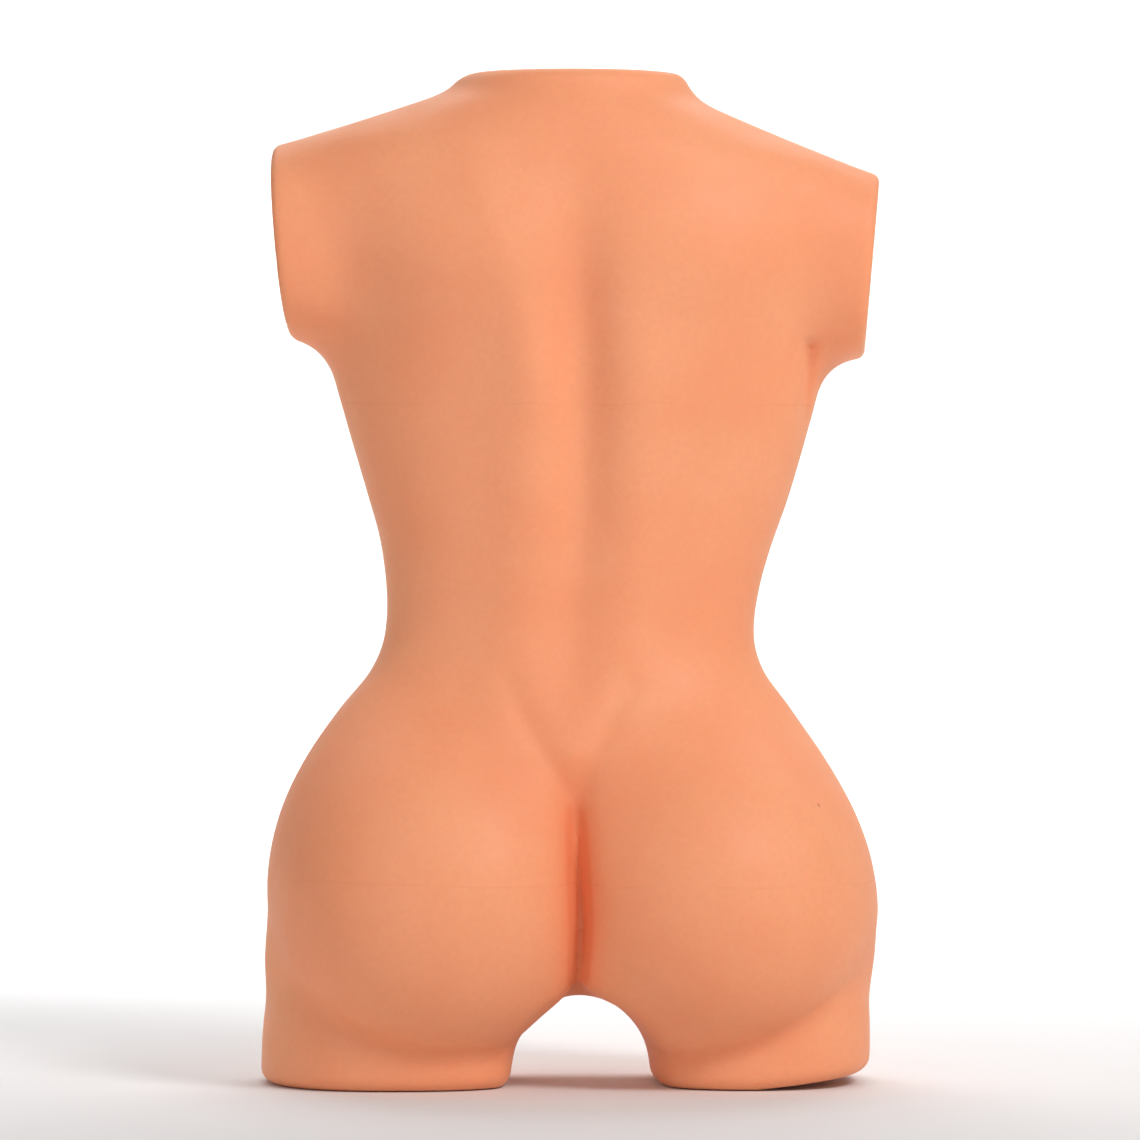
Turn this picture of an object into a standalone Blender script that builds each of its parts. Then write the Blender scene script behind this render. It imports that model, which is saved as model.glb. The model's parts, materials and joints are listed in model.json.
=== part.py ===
"""A soft headless torso mannequin: a cast elastomer skin over two foam cores and a bolted steel frame.

The frame is one hinge at the waist, so the chest half bends over the pelvis half. The skin is one
casting on the real object. Here it is three solids, so that each rigid half has its own and the
band that stretches round the hinge is a solid by itself.

Units are metres. +Z is up, the front faces -Y, and the origin lies on the floor under the middle.
"""

import math

import bmesh
import bpy
from mathutils import Matrix, Vector

# ---------------------------------------------------------------- driving dimensions
HEIGHT = 0.612  # floor to the flat top of the neck
GAP = 0.0004  # clearance between pieces that touch on the real object
FOAM_GAP = 0.001

# The trunk's outline, from the crotch to the neck:
# height, half width, y of the widest line, y of the front, y of the back.
TRUNK_STATIONS = (
    (0.054, 0.174, 0.000, -0.086, 0.078),
    (0.075, 0.181, 0.003, -0.090, 0.083),
    (0.110, 0.184, 0.005, -0.092, 0.087),
    (0.150, 0.178, 0.005, -0.090, 0.087),
    (0.190, 0.161, 0.003, -0.086, 0.082),
    (0.220, 0.141, -0.001, -0.082, 0.071),
    (0.250, 0.119, -0.005, -0.078, 0.059),
    (0.280, 0.110, -0.008, -0.076, 0.055),
    (0.310, 0.114, -0.008, -0.079, 0.057),
    (0.350, 0.124, -0.006, -0.092, 0.062),
    (0.395, 0.138, -0.005, -0.117, 0.069),
    (0.432, 0.149, -0.003, -0.119, 0.075),
    (0.446, 0.172, -0.002, -0.112, 0.077),
    (0.462, 0.198, -0.001, -0.103, 0.080),
    (0.490, 0.207, 0.000, -0.088, 0.082),
    (0.520, 0.205, 0.000, -0.078, 0.080),
    (0.548, 0.190, 0.001, -0.070, 0.075),
    (0.563, 0.160, 0.002, -0.065, 0.071),
    (0.580, 0.115, 0.003, -0.060, 0.066),
    (0.595, 0.083, 0.004, -0.056, 0.061),
    (0.606, 0.071, 0.004, -0.053, 0.058),
    (0.612, 0.066, 0.004, -0.049, 0.054),
)
TRUNK_SQUARENESS = 2.3  # exponent of the superellipse that each level follows
TRUNK_SIDES = 24

# A thigh stump, from its cut face up into the trunk:
# height, x of its middle, half width, y of its middle, half depth.
THIGH_STATIONS = (
    (0.000, 0.1130, 0.0640, 0.000, 0.074),
    (0.005, 0.1130, 0.0690, 0.000, 0.080),
    (0.029, 0.1090, 0.0720, 0.001, 0.085),
    (0.041, 0.1000, 0.0770, 0.002, 0.087),
    (0.054, 0.0880, 0.0800, 0.003, 0.080),
    (0.080, 0.0820, 0.0660, 0.004, 0.060),
)
THIGH_SIDES = 18

# A buttock, as an ellipsoid: the centre of the left one and its radii.
BUTTOCK_CENTRE = (0.083, 0.041, 0.114)
BUTTOCK_RADII = (0.094, 0.081, 0.096)

# The arms are cut off at a flat face that leans in towards the armpit.
ARM_CUT_X = 0.1768  # half distance between the two cut faces, at the clavicle's height
ARM_CUT_LEAN = math.radians(5.4)

# Skin
SKIN = 0.014  # wall over the foam
THIGH_SKIN = 0.017  # and round the thigh stumps
END_SKIN = 0.009  # wall under the thighs and over the neck
FOAM_TOP = 0.200  # the lower core stops here, so that the waist can bend
FOAM_BOTTOM = 0.370  # the upper core starts here
CROTCH_FOAM = 0.072  # the trunk's foam starts here, between the thighs
CLEFT_HALF = 0.015  # between the buttocks the skin fills a slot this wide each side of the middle,
CLEFT_Y = 0.046  # from here back,
CLEFT_TOP = 0.175  # up to here
ARM_FOAM_X = 0.112  # the trunk's foam ends here, and a round core goes on into the arm
ARM_FOAM_RADIUS = 0.037
SLEEVE_RADIUS = 0.030  # free space round the hinge, inside the waist

# Hinge at the waist. Each pair runs from one x to another, on both sides of the middle.
SPINE_Y = 0.005
HINGE_Z = 0.285
WAIST_HALF_GAP = 0.012  # half height of the stretching band, at the hinge's own depth
FRONT_WEDGE = math.radians(17.0)  # how fast the band widens on each side, towards the front
BACK_WEDGE = math.radians(9.0)
TONGUE_HALF = 0.0063
FRICTION_DISC = (0.0067, 0.0092)
EAR = (0.0096, 0.0165)
WASHER = (0.0168, 0.0184)
EYE_RADIUS = 0.015
BLOCK_OFFSET = 0.023  # from the hinge to the blocks that carry its ears and its tongue
BLOCK = 0.012
HINGE_BOLT_RADIUS = 0.005

# Steel frame
POST_RADIUS = 0.0135
TUBE_RADIUS = 0.0125  # legs and clavicles
TUBE_WALL = 0.0025
SOCKET_WALL = 0.0045
FIT = 0.0004  # radial clearance of a tube in its socket
BAR_HALF = 0.015
BAR_Z = 0.135
BAR_HALF_LENGTH = 0.125
BAR_WALL = 0.0025
HIP_X = 0.108
HIP_SOCKET = (0.092, 0.150)
HIP_BOLT_Z = 0.1060
LUMBAR_SOCKET = (0.110, 0.195)
LUMBAR_BOLT_Z = 0.172
CROSS_Z = 0.507
CROSS_SOCKET = (0.462, 0.552)
CROSS_HALF_LENGTH = 0.056
CHEST_BOLT_Z = 0.474
NECK_BOLT_Z = 0.540
CLAVICLE_BOLT_X = 0.042
CLAVICLE_END = 0.1600
BOSS_RADIUS = 0.0068
BOSS_PROUD = 0.002  # how far a clamp bolt's boss stands out of its socket

# Plates that back the cut faces
PLATE = 0.006
PLATE_RADIUS = 0.042
DISC = 0.005
DISC_RADIUS = 0.030
ARM_SKIN_X = CLAVICLE_END + DISC + 2 * GAP  # the arm end's skin starts here
NECK_PLATE_Z = 0.5970
NECK_PLATE_RADIUS = 0.035
NECK_HUB = 0.007  # height of the hub under the neck plate
NECK_HUB_RADIUS = 0.0155
PLUG_RADIUS = 0.022
STEM_RADIUS = 0.0075
STEM_BOTTOM = 0.560

# Fasteners
M5_RADIUS = 0.0025
M6_RADIUS = 0.003
M8_RADIUS = 0.004
SLACK = 0.0004  # radial clearance of a bolt in its hole

ROUND = 16  # sides of a turned piece
SMALL_ROUND = 10
PLUG_SIDES = 24

ALONG_X = Matrix.Rotation(math.radians(90), 4, "Y")  # turns +Z to +X
ALONG_Y = Matrix.Rotation(math.radians(-90), 4, "X")  # turns +Z to +Y
SIDES = (("left", 1), ("right", -1))


# ---------------------------------------------------------------- scene and materials
def clear_scene():
    for item in list(bpy.data.objects):
        bpy.data.objects.remove(item)


def make_material(name, colour, roughness, metallic=0.0):
    material = bpy.data.materials.new(name)
    material.use_nodes = True
    shader = material.node_tree.nodes["Principled BSDF"]
    shader.inputs["Base Color"].default_value = (*colour, 1.0)
    shader.inputs["Roughness"].default_value = roughness
    shader.inputs["Metallic"].default_value = metallic
    return material


def add_object(name, mesh_data, material=None):
    """Puts a bmesh in the scene as an object, shaded smooth but for its sharp edges."""
    bmesh.ops.recalc_face_normals(mesh_data, faces=mesh_data.faces)
    mesh = bpy.data.meshes.new(name)
    mesh_data.to_mesh(mesh)
    mesh_data.free()
    mesh.shade_smooth()
    mesh.set_sharp_from_angle(angle=math.radians(35))
    if material:
        mesh.materials.append(material)
    made = bpy.data.objects.new(name, mesh)
    bpy.context.collection.objects.link(made)
    return made


def hide_helper(helper):
    helper.hide_render = True
    helper.display_type = "WIRE"
    return helper


def boolean(target, operation, helpers, solver):
    for helper in helpers:
        hide_helper(helper)
        modifier = target.modifiers.new(helper.name, "BOOLEAN")
        modifier.operation = operation
        modifier.solver = solver
        modifier.object = helper
    return target


def cut(target, *helpers, solver="EXACT"):
    return boolean(target, "DIFFERENCE", helpers, solver)


def join(target, *helpers, solver="EXACT"):
    return boolean(target, "UNION", helpers, solver)


# ---------------------------------------------------------------- shapes
def box(name, low, high, material=None):
    shape = bmesh.new()
    bmesh.ops.create_cube(shape, size=1.0)
    low, high = Vector(low), Vector(high)
    bmesh.ops.scale(shape, vec=high - low, verts=shape.verts)
    bmesh.ops.translate(shape, vec=(low + high) / 2, verts=shape.verts)
    return add_object(name, shape, material)


def turned(name, profile, place, turn=None, sides=ROUND, material=None, ring=False):
    """Spins a profile of (radius, height) points round +Z, then turns it and moves it to place.

    A ring's profile closes on itself; any other starts and ends on the axis."""
    shape = bmesh.new()
    corners = [shape.verts.new((radius, 0.0, height)) for radius, height in profile]
    edges = [shape.edges.new(pair) for pair in zip(corners, corners[1:])]
    if ring:
        edges.append(shape.edges.new((corners[-1], corners[0])))
    bmesh.ops.spin(
        shape,
        geom=corners + edges,
        cent=(0, 0, 0),
        axis=(0, 0, 1),
        angle=math.tau,
        steps=sides,
        use_merge=True,
    )
    bmesh.ops.remove_doubles(shape, verts=shape.verts, dist=1e-6)
    half_step = Matrix.Rotation(math.pi / sides, 4, "Z")
    matrix = Matrix.Translation(place) @ (turn or Matrix.Identity(4)) @ half_step
    bmesh.ops.transform(shape, matrix=matrix, verts=shape.verts)
    return add_object(name, shape, material)


def rod(name, radius, start, end, place, turn=None, sides=ROUND, material=None):
    profile = [(0, start), (radius, start), (radius, end), (0, end)]
    return turned(name, profile, place, turn, sides, material)


def tube(name, inner, outer, start, end, place, turn=None, sides=ROUND, material=None):
    profile = [(inner, start), (outer, start), (outer, end), (inner, end)]
    return turned(name, profile, place, turn, sides, material, ring=True)


def cap_screw(name, radius, grip, place, turn, material):
    """A socket cap screw along +Z whose head bears on z = 0 and points to -Z. grip is its length."""
    head, socket, bevel = 1.65 * radius, 0.9 * radius, 0.15 * radius
    tall = 2.0 * radius
    profile = [
        (0, -0.9 * radius),
        (socket, -0.9 * radius),
        (socket, -tall),
        (head - bevel, -tall),
        (head, -tall + bevel),
        (head, 0),
        (radius, 0),
        (radius, grip),
        (0, grip),
    ]
    return turned(name, profile, place, turn, SMALL_ROUND, material)


def button_screw(name, radius, grip, place, turn, material):
    """The same with a low round head, for where the skin is thin."""
    head, socket, tall = 2.0 * radius, 0.7 * radius, 1.05 * radius
    profile = [
        (0, -0.4 * tall),
        (socket, -0.4 * tall),
        (socket, -tall),
        (0.6 * head, -tall),
        (head, -0.35 * tall),
        (head, 0),
        (radius, 0),
        (radius, grip),
        (0, grip),
    ]
    return turned(name, profile, place, turn, SMALL_ROUND, material)


def hex_nut(name, radius, thickness, place, turn, material):
    """A hexagon nut along +Z from z = 0, with a plain hole that clears its bolt."""
    across_corners = 2.05 * radius
    nut = rod(name, across_corners, 0, thickness, place, turn, 6, material)
    hole = rod(
        name + "_hole",
        radius + SLACK,
        -thickness,
        2 * thickness,
        place,
        turn,
        SMALL_ROUND,
    )
    return cut(nut, hole)


def loft(name, rings, material=None):
    """A closed solid through a stack of rings, each a list with the same number of points."""
    shape = bmesh.new()
    levels = [[shape.verts.new(point) for point in ring] for ring in rings]
    for low, high in zip(levels, levels[1:]):
        for i in range(len(low)):
            j = (i + 1) % len(low)
            shape.faces.new((low[i], low[j], high[j]))
            shape.faces.new((low[i], high[j], high[i]))
    shape.faces.new(levels[0])
    shape.faces.new(levels[-1])
    return add_object(name, shape, material)


# ---------------------------------------------------------------- the body's form
def station_at(stations, height):
    """A row of the table at any height, by Catmull-Rom between its rows."""
    rows = [stations[0], *stations, stations[-1]]
    i = 1
    while i < len(rows) - 3 and height > rows[i + 1][0]:
        i += 1
    before, low, high, after = rows[i - 1], rows[i], rows[i + 1], rows[i + 2]
    span = high[0] - low[0]
    t = min(max((height - low[0]) / span, 0.0), 1.0)
    row = []
    for a, b, c, d in zip(before, low, high, after):
        slope_low = (c - a) * span / max(high[0] - before[0], 1e-9)
        slope_high = (d - b) * span / max(after[0] - low[0], 1e-9)
        row.append(
            (2 * t**3 - 3 * t**2 + 1) * b
            + (t**3 - 2 * t**2 + t) * slope_low
            + (3 * t**2 - 2 * t**3) * c
            + (t**3 - t**2) * slope_high
        )
    return row


def super_ring(centre_x, middle, half_width, front, back, height, sides):
    """A superellipse whose front and back halves may differ in depth."""
    points = []
    power = 2 / TRUNK_SQUARENESS
    for i in range(sides):
        angle = math.tau * i / sides
        c, s = math.cos(angle), math.sin(angle)
        across = math.copysign(abs(c) ** power, c)
        along = math.copysign(abs(s) ** power, s)
        depth = back - middle if s > 0 else middle - front
        points.append(
            (centre_x + half_width * across, middle + depth * along, height)
        )
    return points


def buttock(name, side, inset=0.0):
    """One buttock, drawn in from its surface by inset."""
    shape = bmesh.new()
    bmesh.ops.create_uvsphere(shape, u_segments=18, v_segments=11, radius=1.0)
    bmesh.ops.scale(shape, vec=[r - inset for r in BUTTOCK_RADII], verts=shape.verts)
    x, y, z = BUTTOCK_CENTRE
    bmesh.ops.translate(shape, vec=(side * x, y, z), verts=shape.verts)
    bmesh.ops.triangulate(shape, faces=shape.faces, quad_method="FIXED")
    return add_object(name, shape)


def trunk_rings(heights, inset=0.0):
    """Rings of the trunk at these heights, drawn in from its surface by inset."""
    rings = []
    for height in heights:
        _, half, middle, front, back = station_at(TRUNK_STATIONS, height)
        front, back = front + inset, back - inset
        rings.append(
            super_ring(0, middle, half - inset, front, back, height, TRUNK_SIDES)
        )
    return rings


def levels(low, high, step):
    """Heights from low to high, about step apart. Near the neck they follow the stations."""
    turn = 0.548
    plain_top = min(high, turn)
    count = max(2, round((plain_top - low) / step))
    heights = [low + (plain_top - low) * i / count for i in range(count + 1)]
    heights += [row[0] for row in TRUNK_STATIONS if turn < row[0] < high - 0.002]
    return heights + [high] if high > turn else heights


def thigh_rings(side, inset=0.0, bottom=0.0):
    """Rings of one thigh stump, from bottom up, drawn in from its surface by inset."""
    rings = []
    for height, x, half, middle, depth in THIGH_STATIONS:
        if height < bottom:
            continue
        front, back = middle - depth + inset, middle + depth - inset
        rings.append(
            super_ring(
                side * x, middle, half - inset, front, back, height, THIGH_SIDES
            )
        )
    if bottom > 0:
        rings.insert(0, [(x, y, bottom) for x, y, _ in rings[0]])
    return rings


def waist_block(name, edge, fill, offset=0.0):
    """A block with a ridge or a groove along x at the hinge, for cutting at the waist.

    edge is 1 for the upper edge of the band that stretches, and -1 for its lower edge. fill is 1
    to cover all above that edge, and -1 for all below it. offset moves the edge off the band."""
    reach, far = 0.25, 0.5
    profile = []
    for y in (-reach, SPINE_Y, reach):
        wedge = FRONT_WEDGE if y < SPINE_Y else BACK_WEDGE
        rise = WAIST_HALF_GAP + offset + abs(y - SPINE_Y) * math.tan(wedge)
        profile.append((y, HINGE_Z + edge * rise))
    profile += [(reach, HINGE_Z + fill * far), (-reach, HINGE_Z + fill * far)]
    return loft(name, [[(x, y, z) for y, z in profile] for x in (-0.3, 0.3)])


def arm_cut(name, side):
    """A block outside one arm's cut face."""
    block = box(name, (0, -0.2, -0.2), (0.2, 0.2, 0.2))
    lean = Matrix.Rotation(side * ARM_CUT_LEAN, 4, "Y")
    turn = lean if side > 0 else lean @ Matrix.Rotation(math.pi, 4, "Z")
    place = Matrix.Translation((side * ARM_CUT_X, 0, CROSS_Z))
    block.data.transform(place @ turn)
    return block


# ---------------------------------------------------------------- the foam and its channels
def channel(name, runs, place, turn=None, sides=12):
    """A stepped cutter along +Z: runs of (radius, start), and the height where the last one ends.

    Its flats, and not its corners, lie at the radius."""
    *steps, end = runs
    profile = [(0, steps[0][1])]
    for i, (flat, start) in enumerate(steps):
        stop = steps[i + 1][1] if i + 1 < len(steps) else end
        radius = flat / math.cos(math.pi / sides)
        profile += [(radius, start), (radius, stop)]
    profile.append((0, end))
    return turned(name, profile, place, turn, sides)


def bolt_channel(name, x, z):
    return rod(name, 0.0080, -0.034, 0.034, (x, SPINE_Y, z), ALONG_Y, 8)


def lower_channels():
    """The places of the pelvis half's steel pieces in its foam."""
    post, leg = POST_RADIUS + FIT, TUBE_RADIUS + FIT
    low, high = LUMBAR_SOCKET
    runs = [(post + SOCKET_WALL, low - GAP), (post, high + GAP), 0.24]
    cutters = [channel("post_channel", runs, (0, SPINE_Y, 0))]
    reach = BAR_HALF_LENGTH + GAP
    side = BAR_HALF + GAP
    corner = (-reach, SPINE_Y - side, BAR_Z - side)
    cutters.append(
        box("bar_channel", corner, (reach, SPINE_Y + side, BAR_Z + side))
    )
    cutters.append(bolt_channel("lumbar_channel", 0, LUMBAR_BOLT_Z))
    low, high = HIP_SOCKET
    plate_top = END_SKIN + PLATE + 2 * GAP
    runs = [
        (PLATE_RADIUS + GAP, 0.0),
        (leg, plate_top),
        (leg + SOCKET_WALL, low - GAP),
        high + GAP,
    ]
    for label, sign in SIDES:
        cutters.append(
            channel("leg_channel_" + label, runs, (sign * HIP_X, SPINE_Y, 0))
        )
        cutters.append(bolt_channel("hip_channel_" + label, sign * HIP_X, HIP_BOLT_Z))
    return cutters


def upper_channels():
    """The places of the chest half's steel pieces in its foam."""
    post, arm = POST_RADIUS + FIT, TUBE_RADIUS + FIT
    low, high = CROSS_SOCKET
    runs = [
        (post, 0.34),
        (post + SOCKET_WALL, low - GAP),
        (post, high + GAP),
        (NECK_HUB_RADIUS + GAP, NECK_PLATE_Z - NECK_HUB - GAP),
        (NECK_PLATE_RADIUS + GAP, NECK_PLATE_Z - GAP),
        0.65,
    ]
    cutters = [channel("chest_channel", runs, (0, SPINE_Y, 0))]
    edge = CROSS_HALF_LENGTH + GAP
    end = CLAVICLE_END - GAP / 2
    runs = [
        (DISC_RADIUS + GAP, -0.2),
        (arm, -end),
        (arm + SOCKET_WALL, -edge),
        (arm, edge),
        (DISC_RADIUS + GAP, end),
        0.2,
    ]
    cutters.append(channel("clavicle_channel", runs, (0, SPINE_Y, CROSS_Z), ALONG_X))
    bolts = [(0, CHEST_BOLT_Z), (0, NECK_BOLT_Z)]
    bolts += [(sign * CLAVICLE_BOLT_X, CROSS_Z) for _, sign in SIDES]
    for i, (x, z) in enumerate(bolts):
        cutters.append(bolt_channel(f"bolt_channel_{i}", x, z))
    return cutters


def core_rings(bottom, top, step, clearance):
    """Rings of the trunk inside the skin's wall, and clear of it by clearance all round."""
    heights = levels(bottom, top, step)
    heights[0] += clearance
    heights[-1] -= clearance
    return trunk_rings(heights, SKIN + clearance)


def lower_core(name, clearance=0.0, material=None):
    """What the skin's wall leaves of the pelvis half."""
    core = loft(name, core_rings(CROTCH_FOAM, FOAM_TOP, 0.045, clearance), material)
    for label, sign in SIDES:
        rings = thigh_rings(sign, THIGH_SKIN + clearance, END_SKIN + clearance)
        join(core, loft(f"{name}_thigh_{label}", rings))
        join(core, buttock(f"{name}_buttock_{label}", sign, SKIN + clearance))
    half = CLEFT_HALF + clearance
    low, high = (-half, CLEFT_Y - clearance, 0.02), (half, 0.2, CLEFT_TOP + clearance)
    cut(core, box(name + "_cleft", low, high))
    return core


def upper_core(name, clearance=0.0, material=None):
    """What the skin's wall leaves of the chest half, with a round core in each arm."""
    rings = core_rings(FOAM_BOTTOM, HEIGHT - END_SKIN, 0.036, clearance)
    core = loft(name, rings, material)
    place = (0, SPINE_Y, CROSS_Z)
    for label, sign in SIDES:
        near, far = sorted((sign * (ARM_FOAM_X - clearance), sign * 0.3))
        cut(core, box(f"{name}_end_{label}", (near, -0.2, 0.3), (far, 0.2, 0.7)))
        turn = Matrix.Rotation(sign * math.radians(90), 4, "Y")
        radius, end = ARM_FOAM_RADIUS - clearance, ARM_SKIN_X - clearance
        join(core, rod(f"{name}_arm_{label}", radius, 0.09, end, place, turn, PLUG_SIDES))
    return core


def build_foam(material):
    low = lower_core("foam_lower", FOAM_GAP, material)
    cut(low, *lower_channels())
    high = upper_core("foam_upper", FOAM_GAP, material)
    cut(high, *upper_channels())
    return low, high


# ---------------------------------------------------------------- the skin
def build_skin(material):
    low = loft("skin_lower", trunk_rings(levels(0.054, 0.300, 0.023)), material)
    for label, sign in SIDES:
        join(low, loft("thigh_" + label, thigh_rings(sign)))
        join(low, buttock("buttock_" + label, sign))
    cut(low, waist_block("above_lower", -1, 1))
    cut(low, lower_core("cavity_lower"))
    cut(low, rod("sleeve_lower", SLEEVE_RADIUS, FOAM_TOP - 0.01, 0.4, (0, SPINE_Y, 0)))
    for label, sign in SIDES:
        place = (sign * HIP_X, SPINE_Y, 0)
        cut(low, rod("thigh_head_" + label, 0.0088, 0.0045, 0.02, place))

    high = loft("skin_upper", trunk_rings(levels(0.270, HEIGHT, 0.023)), material)
    cut(high, waist_block("below_upper", 1, -1))
    cut(high, *(arm_cut("arm_cut_" + label, sign) for label, sign in SIDES))
    cut(high, upper_core("cavity_upper"))
    cut(high, rod("sleeve_upper", SLEEVE_RADIUS, 0.2, FOAM_BOTTOM + 0.01, (0, SPINE_Y, 0)))
    cut(high, rod("neck_hole", PLUG_RADIUS + GAP, 0.59, 0.63, (0, SPINE_Y, 0), None, PLUG_SIDES))
    for label, sign in SIDES:
        turn = Matrix.Rotation(sign * math.radians(90), 4, "Y")
        place = (0, SPINE_Y, CROSS_Z)
        cut(high, rod("arm_head_" + label, 0.0088, 0.155, ARM_SKIN_X + 0.0045, place, turn))

    band = loft("skin_waist", trunk_rings(levels(0.215, 0.355, 0.023)), material)
    cut(band, waist_block("above_band", 1, 1, -GAP))
    cut(band, waist_block("below_band", -1, -1, -GAP))
    cut(band, rod("sleeve_waist", SLEEVE_RADIUS, 0.15, 0.45, (0, SPINE_Y, 0)))
    return low, high, band


# ---------------------------------------------------------------- steel weldments
def clamp_bosses(frame, name, x, z, reach):
    """Flat bosses on the front and back of a socket, and the clamp bolt's hole through both."""
    place = (x, SPINE_Y, z)
    boss = rod(name + "_boss", BOSS_RADIUS, -reach, reach, place, ALONG_Y, SMALL_ROUND)
    join(frame, boss)
    hole = rod(name + "_hole", M6_RADIUS + SLACK, -0.05, 0.05, place, ALONG_Y, SMALL_ROUND)
    return hole


def clamp_set(name, x, z, reach, material):
    """A clamp bolt from the front through a socket and its tube, and the nut at the back."""
    front = (x, SPINE_Y - reach - GAP, z)
    back = (x, SPINE_Y + reach + GAP, z)
    bolt = cap_screw(name + "_bolt", M6_RADIUS, 2 * reach + 0.0075, front, ALONG_Y, material)
    nut = hex_nut(name + "_nut", M6_RADIUS, 0.005, back, ALONG_Y, material)
    return [bolt, nut]


def drilled(tube_object, name, x, z):
    hole = rod(name + "_drill", M6_RADIUS + SLACK, -0.03, 0.03, (x, SPINE_Y, z), ALONG_Y, SMALL_ROUND)
    return cut(tube_object, hole)


def build_pelvis_frame(material):
    """A square bar with a socket in its middle for the spine and one near each end for a leg."""
    low = (-BAR_HALF_LENGTH, SPINE_Y - BAR_HALF, BAR_Z - BAR_HALF)
    high = (BAR_HALF_LENGTH, SPINE_Y + BAR_HALF, BAR_Z + BAR_HALF)
    frame = box("pelvis_frame", low, high, material)
    inner = BAR_HALF - BAR_WALL
    hollow_low = (-0.2, SPINE_Y - inner, BAR_Z - inner)
    cut(frame, box("bar_hollow", hollow_low, (0.2, SPINE_Y + inner, BAR_Z + inner)))
    sockets = [("spine", 0.0, POST_RADIUS + FIT, LUMBAR_SOCKET, LUMBAR_BOLT_Z)]
    for label, sign in SIDES:
        sockets.append((label, sign * HIP_X, TUBE_RADIUS + FIT, HIP_SOCKET, HIP_BOLT_Z))
    holes = []
    for label, x, bore, (bottom, top), bolt_z in sockets:
        place = (x, SPINE_Y, 0)
        reach = bore + SOCKET_WALL + BOSS_PROUD - FIT
        outer = bore + SOCKET_WALL - FIT
        join(frame, rod("socket_" + label, outer, bottom, top, place))
        holes.append(clamp_bosses(frame, "socket_" + label, x, bolt_z, reach))
        holes.append(rod("bore_" + label, bore, bottom - 0.01, top + 0.01, place))
    for label, sign in SIDES:
        place = (sign * HIP_X / 2, SPINE_Y, BAR_Z)
        holes.append(rod("vent_" + label, 0.003, -0.03, -0.008, place, None, SMALL_ROUND))
    return cut(frame, *holes, solver="MANIFOLD")


def build_chest_frame(material):
    """A cross of sockets: the spine from below, the neck from above and a clavicle on each side."""
    bore, side_bore = POST_RADIUS + FIT, TUBE_RADIUS + FIT
    outer, side_outer = POST_RADIUS + SOCKET_WALL, TUBE_RADIUS + SOCKET_WALL
    bottom, top = CROSS_SOCKET
    upright = (0, SPINE_Y, 0)
    across = (0, SPINE_Y, CROSS_Z)
    frame = rod("chest_frame", outer, bottom, top, upright, None, ROUND, material)
    arms = rod("socket_arms", side_outer, -CROSS_HALF_LENGTH, CROSS_HALF_LENGTH, across, ALONG_X)
    join(frame, arms)
    holes = [rod("bore_chest", bore, bottom - 0.01, top + 0.01, upright)]
    for name, z in (("chest_clamp", CHEST_BOLT_Z), ("neck_clamp", NECK_BOLT_Z)):
        holes.append(clamp_bosses(frame, name, 0, z, outer + BOSS_PROUD))
    for label, sign in SIDES:
        turn = Matrix.Rotation(sign * math.radians(90), 4, "Y")
        holes.append(rod("bore_" + label, side_bore, outer + 0.002, 0.08, across, turn))
        name = "clavicle_clamp_" + label
        x = sign * CLAVICLE_BOLT_X
        holes.append(clamp_bosses(frame, name, x, CROSS_Z, side_outer + BOSS_PROUD))
    return cut(frame, *holes, solver="MANIFOLD")


def end_plug(name, start, end, place, turn, material):
    """A turned plug in a thin tube's end, with a flange outside it and a threaded hole for M8."""
    inner = TUBE_RADIUS - TUBE_WALL - GAP
    hole = M8_RADIUS + SLACK
    flange = 0.003
    profile = [
        (hole, start),
        (inner, start),
        (inner, end - flange),
        (TUBE_RADIUS, end - flange),
        (TUBE_RADIUS, end),
        (hole, end),
    ]
    return turned(name, profile, place, turn, ROUND, material, ring=True)


def perforated_disc(name, radius, hole, start, end, place, turn, material):
    """A round plate with a middle hole and four round windows, which let the foam grip it."""
    plate = tube(name, hole, radius, start, end, place, turn, 20, material)
    turn = turn or Matrix.Identity(4)
    for i in range(4):
        angle = math.tau * (i + 0.5) / 4
        ring = 0.62 * radius
        offset = Vector((ring * math.cos(angle), ring * math.sin(angle), 0))
        window = rod(
            f"{name}_window{i}",
            0.16 * radius,
            start - 0.01,
            end + 0.01,
            Vector(place) + turn.to_3x3() @ offset,
            turn,
            8,
        )
        cut(plate, window)
    return plate


def build_leg(label, sign, steel, zinc):
    """A leg tube in its hip socket, and the plate under it that backs the thigh's cut face."""
    place = (sign * HIP_X, SPINE_Y, 0)
    inner = TUBE_RADIUS - TUBE_WALL
    plate_low = END_SKIN + GAP
    plate_high = plate_low + PLATE
    plug_low = plate_high + GAP
    plug_high = plug_low + 0.024
    leg = tube(
        "leg_tube_" + label,
        inner,
        TUBE_RADIUS,
        plug_low + 0.003 + GAP,
        HIP_SOCKET[1] - 0.001,
        place,
        None,
        ROUND,
        steel,
    )
    drilled(leg, "leg_tube_" + label, sign * HIP_X, HIP_BOLT_Z)
    flip = Matrix.Rotation(math.pi, 4, "X")
    reach = TUBE_RADIUS + SOCKET_WALL + BOSS_PROUD
    return [
        leg,
        end_plug("leg_plug_" + label, -plug_high, -plug_low, place, flip, zinc),
        perforated_disc(
            "thigh_plate_" + label,
            PLATE_RADIUS,
            M8_RADIUS + SLACK,
            plate_low,
            plate_high,
            place,
            None,
            steel,
        ),
        button_screw(
            "thigh_screw_" + label,
            M8_RADIUS,
            0.028,
            (place[0], place[1], plate_low - GAP / 2),
            None,
            zinc,
        ),
        *clamp_set("hip_" + label, sign * HIP_X, HIP_BOLT_Z, reach, zinc),
    ]


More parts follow.
